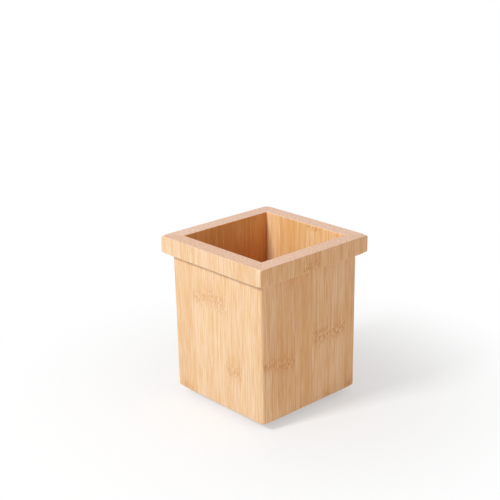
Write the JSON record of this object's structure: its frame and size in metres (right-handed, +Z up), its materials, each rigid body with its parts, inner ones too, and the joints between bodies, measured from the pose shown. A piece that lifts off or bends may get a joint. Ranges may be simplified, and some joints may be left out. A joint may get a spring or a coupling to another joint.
{
  "type": "utensil holder",
  "caption": "Square bamboo utensil holder with a raised rim band, open at the top, that spins on a hidden swivel in its base.",
  "frame": {"origin": "centre of the base, on the counter that the foot pads stand on", "axes": "+Z up along the spin axis; -Y is the front face; +X is the right face"},
  "size_m": [0.1396, 0.1396, 0.1651],
  "materials": {
    "bamboo_wall": "satin clear lacquer over flat-pressed bamboo, grain upright",
    "bamboo_rim": "satin clear lacquer over flat-pressed bamboo, grain upright, end grain on top",
    "bamboo_floor": "satin clear lacquer over flat-pressed bamboo",
    "bamboo_foot": "sanded flat-pressed bamboo",
    "zinc_steel": "bright zinc-plated pressed sheet",
    "ball_steel": "polished, lightly greased",
    "retainer_plastic": "natural moulded nylon",
    "screw_steel": "zinc-plated",
    "pad_rubber": "matt black"
  },
  "bodies": {
    "foot": {"foot_disc": "bamboo_foot", "foot_pad_1": "pad_rubber", "foot_pad_2": "pad_rubber", "foot_pad_3": "pad_rubber", "foot_pad_4": "pad_rubber", "swivel_lower_plate": "zinc_steel", "lower_plate_screws": "screw_steel"},
    "holder": {"wall_front": "bamboo_wall", "wall_right": "bamboo_wall", "wall_back": "bamboo_wall", "wall_left": "bamboo_wall", "rim_front": "bamboo_rim", "rim_right": "bamboo_rim", "rim_back": "bamboo_rim", "rim_left": "bamboo_rim", "floor_board": "bamboo_floor", "swivel_upper_plate": "zinc_steel", "upper_plate_screws": "screw_steel"},
    "ball_ring": {"swivel_balls": "ball_steel", "ball_retainer": "retainer_plastic"}
  },
  "joints": [
    {"name": "holder_spin", "type": "hinge", "parent": "foot", "child": "holder", "pos_m": [0, 0, 0.012], "axis": [0, 0, 1], "continuous": true},
    {"name": "ball_orbit", "type": "hinge", "parent": "foot", "child": "ball_ring", "pos_m": [0, 0, 0.012], "axis": [0, 0, 1], "continuous": true}
  ],
  "couplings": [
    {"joint": "ball_orbit", "follows": "holder_spin", "ratio": 0.5}
  ]
}
